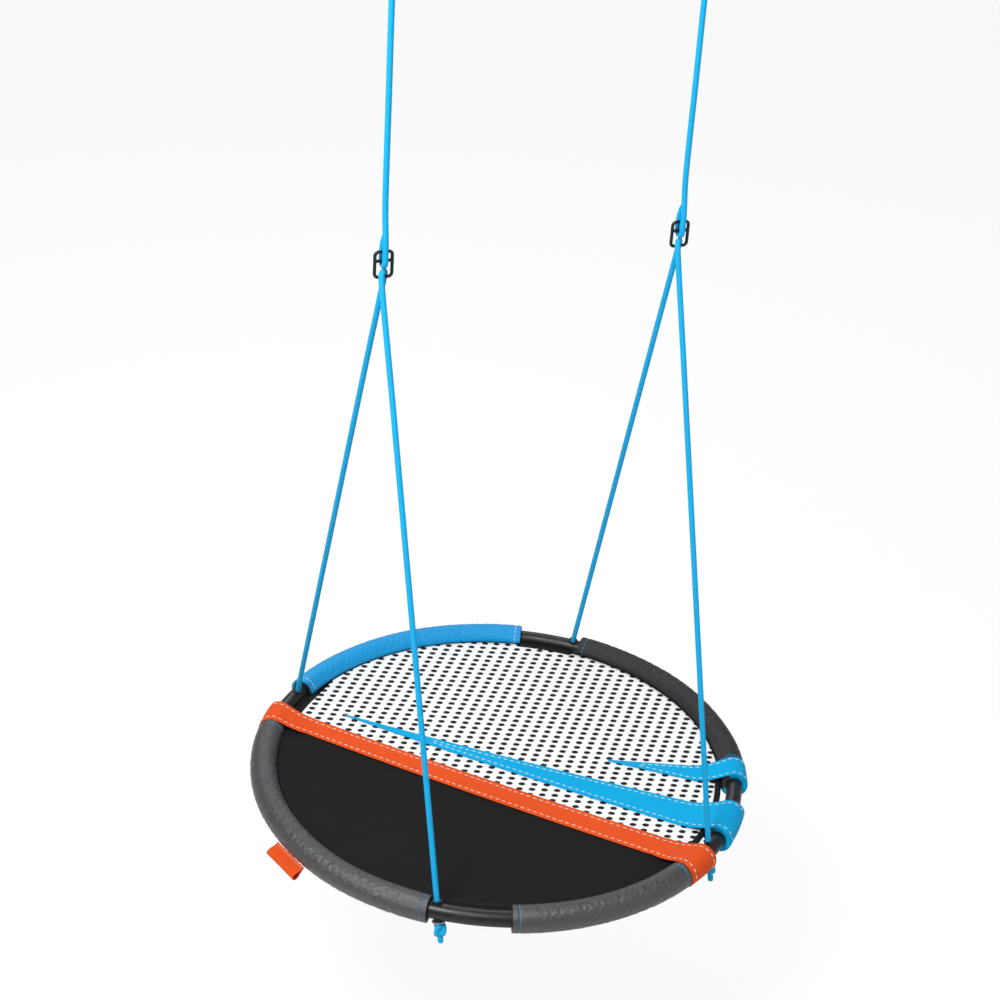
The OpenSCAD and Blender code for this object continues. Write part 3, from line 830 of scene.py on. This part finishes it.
def band_lines(points, inset, least):
    """Lines a fixed distance inside both edges of a band, where it is wide enough."""
    lines = []
    width = np.linalg.norm(points[:, -1] - points[:, 0], axis=1)
    along = np.gradient(points, axis=0)
    across = points[:, -1] - points[:, 0]
    for first in (True, False):
        rows, normals = [], []
        for k in range(len(points)):
            if width[k] < least:
                continue
            share = inset / width[k] if first else 1 - inset / width[k]
            place = share * (points.shape[1] - 1)
            i = min(int(place), points.shape[1] - 2)
            p = points[k, i] + (points[k, i + 1] - points[k, i]) * (place - i)
            normal = np.cross(along[k, i], across[k])
            size = np.linalg.norm(normal)
            if size < 1e-12:
                continue
            rows.append(p)
            normals.append(normal / size)
        rows, normals = np.array(rows), np.array(normals)
        if len(rows) > 2:
            lines.append((rows, normals))
    return lines


def edge_caps(name, points, cloth, wraps):
    """The turned-in edges of the wraps, from the cloth down to the rim tube."""
    parts = []
    for k, (low, high) in enumerate(wraps):
        for j, degrees in enumerate((low, high)):
            inward = 1 if degrees == min(low, high) else -1
            angles = np.linspace(math.radians(118), math.radians(-150), 64)
            rings = []
            for share in np.linspace(0, 1, 6):
                r = WRAP_R + (TUBE_R + 0.0006 - WRAP_R) * share
                theta = math.radians(degrees) + inward * 0.0022 * math.sin(share * math.pi / 2) / RIM_R
                rings.append(on_rim(np.full_like(angles, theta), RIM_R + r * np.cos(angles),
                                    r * np.sin(angles)))
            rings = np.array(rings)
            parts.append(grid_object(f"{name}Cap{k}{j}", rings, M[cloth],
                                     np.linspace(0, 0.011, 6), angles * WRAP_R))
    return parts


def make_band(name, node, ends, cloth, stitch, tip=None, inset=0.009):
    points = band_surface(ends, tip)
    across = np.linalg.norm(points - points[:, :1], axis=2)
    middle = points[:, points.shape[1] // 2]
    along = np.concatenate([[0], np.cumsum(np.linalg.norm(np.diff(middle, axis=0), axis=1))])
    piece = grid_object(name, points, M[cloth], along[:, None] + 0 * across, across)
    parts = [piece] + edge_caps(name, points, cloth, ends)
    whole = joined(name + "Cloth", parts)
    solid(whole, 0.0014)
    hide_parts(node)
    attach(whole, "seat")
    lines = [(p + 0.0009 * n, n) for p, n in band_lines(points, inset, 2.6 * inset)]
    rows = dashes(name + "Stitches", lines, M[stitch])
    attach(rows, "seat")
    return whole


# ---- Tab ----

def make_tab():
    """A tab of folded cloth that stands out of the sleeve as a flat loop, left blank."""
    angle, dip, length = math.radians(195), math.radians(36), 0.092
    out = np.array([math.cos(angle), math.sin(angle), 0])
    along = np.array([-math.sin(angle), math.cos(angle), 0])
    down = out * math.cos(dip) - np.array([0, 0, math.sin(dip)])
    up = out * math.sin(dip) + np.array([0, 0, math.cos(dip)])
    origin = out * RIM_R + np.array([0, 0, SEAT_Z])
    outline = [(0.0268, 0.0007), (0.030, 0.0009), (0.035, 0.0016), (0.040, 0.0032),
               (0.0450, 0.0052), (0.0495, 0.0060), (0.0535, 0.0050), (0.0562, 0.0027),
               (0.0570, 0)]
    outline = outline + [(d, -h) for d, h in outline[:-1][::-1]]
    line = smooth_path([(d, h, 0) for d, h in outline], 0.0008)[0][:, :2]
    places = np.linspace(-length / 2, length / 2, 60)
    swing = 0.0006 * np.sin(places * 90)
    points = origin + line[None, :, :1] * down + (line[None, :, 1:] + swing[:, None, None]
                                                  * (line[None, :, :1] - 0.027) / 0.027) * up \
        + places[:, None, None] * along
    girth = np.concatenate([[0], np.cumsum(np.linalg.norm(np.diff(line, axis=0), axis=1))])
    piece = grid_object("TabCloth", points, M["orange"], places, girth)
    solid(piece, 0.0011)
    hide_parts("label_tab")
    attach(piece, "seat")
    lines = []
    for depth in (0.0305,):
        for turn in (1, -1):
            p = origin + depth * down + turn * 0.0016 * up + places[:, None] * along
            lines.append((p, np.tile(turn * up, (len(places), 1))))
    rows = dashes("TabStitches", lines, M["peach"], 0.0062, 0.0042, 0.001, 0.0007)
    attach(rows, "seat")


# ---- Materials of the CAD pieces ----

def finish_nodes():
    looks = {
        "hanger_left": "zinc", "hanger_right": "zinc", "pin_bolt_left": "bolt",
        "pin_bolt_right": "bolt", "lock_nut_left": "bolt", "lock_nut_right": "bolt",
        "thimble_left": "thimble", "thimble_right": "thimble", "adjuster_ring_left": "ring",
        "adjuster_ring_right": "ring", "rim_tube_back": "tube", "rim_tube_left": "tube",
        "rim_tube_front": "tube", "rim_tube_right": "tube", "rim_spigots": "steel",
        "rim_screws": "bolt", "foam_back": "foam", "foam_right": "foam",
        "foam_front_left": "foam", "foam_front_right": "foam", "foam_band_collars": "foam",
        "rope_bushes": "bush", "knot_washers": "bolt"}
    for node, look in looks.items():
        for place in NODES[node].material_slots:
            place.material = M[look]


# ---- Stage ----

def light(name, kind, place, aim, power, size):
    data = bpy.data.lights.new(name, kind)
    data.energy = power
    data.shape, data.size = "DISK", size
    lamp = bpy.data.objects.new(name, data)
    lamp.location = place
    lamp.rotation_mode = "QUATERNION"
    lamp.rotation_quaternion = (Vector(aim) - Vector(place)).to_track_quat("-Z", "Y")
    bpy.context.scene.collection.objects.link(lamp)


def make_stage():
    world = bpy.data.worlds.new("Studio")
    bpy.context.scene.world = world
    world.use_nodes = True
    tree = world.node_tree
    tree.nodes.clear()
    ambient = tree.nodes.new("ShaderNodeBackground")
    ambient.inputs[0].default_value, ambient.inputs[1].default_value = (0.93, 0.96, 1, 1), 0.32
    white = tree.nodes.new("ShaderNodeBackground")
    white.inputs[0].default_value, white.inputs[1].default_value = (1, 1, 1, 1), 1.0
    mix = tree.nodes.new("ShaderNodeMixShader")
    out = tree.nodes.new("ShaderNodeOutputWorld")
    tree.links.new(tree.nodes.new("ShaderNodeLightPath").outputs["Is Camera Ray"], mix.inputs[0])
    tree.links.new(ambient.outputs[0], mix.inputs[1])
    tree.links.new(white.outputs[0], mix.inputs[2])
    tree.links.new(mix.outputs[0], out.inputs[0])

    floor_z = -2.25
    mesh = bpy.data.meshes.new("Floor")
    mesh.from_pydata([(-14, -14, floor_z), (14, -14, floor_z), (14, 14, floor_z), (-14, 14, floor_z)],
                     [], [(0, 1, 2, 3)])
    floor = bpy.data.objects.new("Floor", mesh)
    material = bpy.data.materials.new("FloorPale")
    material.use_nodes = True
    tree = material.node_tree
    shader = next(n for n in tree.nodes if n.type == "BSDF_PRINCIPLED")
    shader.inputs["Base Color"].default_value = (0.86, 0.86, 0.86, 1)
    shader.inputs["Roughness"].default_value = 0.9
    glow = tree.nodes.new("ShaderNodeEmission")
    glow.inputs[1].default_value = 1.06
    mix = tree.nodes.new("ShaderNodeMixShader")
    share = tree.nodes.new("ShaderNodeMath")
    share.operation = "MULTIPLY"
    tree.links.new(tree.nodes.new("ShaderNodeLightPath").outputs["Is Camera Ray"], share.inputs[0])
    share.inputs[1].default_value = 0.85
    out = next(n for n in tree.nodes if n.type == "OUTPUT_MATERIAL")
    tree.links.new(share.outputs[0], mix.inputs[0])
    tree.links.new(shader.outputs[0], mix.inputs[1])
    tree.links.new(glow.outputs[0], mix.inputs[2])
    tree.links.new(mix.outputs[0], out.inputs[0])
    mesh.materials.append(material)
    bpy.context.scene.collection.objects.link(floor)

    light("Key", "AREA", (-1.9, -1.0, 1.5), (0, 0, -1.7), 118, 1.6)
    light("Fill", "AREA", (2.6, -3.2, 0.4), (0, 0, -1.5), 30, 2.6)
    light("Back", "AREA", (0.8, 3.4, 1.2), (0, 0, -1.5), 40, 2.2)
    bpy.context.scene.view_settings.view_transform = "Standard"


make_camera()
make_ropes()
make_knots()
for cover in SLEEVES:
    make_sleeve(cover)
make_panel("mesh_panel", 1, "mesh")
make_panel("black_panel", -1, "black")
make_hem("mesh_panel_hem", 1)
make_hem("black_panel_hem", -1)
make_band("OrangeBand", "orange_band", [(148.1, 140.4), (294.6, 303.5)], "orange", "peach")
make_band("WideBlueBand", "wide_blue_band", [(311.0, 322.6)], "blue", "pale",
          (-0.356, -0.012))
make_band("NarrowBlueBand", "narrow_blue_band", [(333.2, 340.4)], "blue", "pale",
          (0.190, 0.124), 0.007)
make_tab()
finish_nodes()
make_stage()
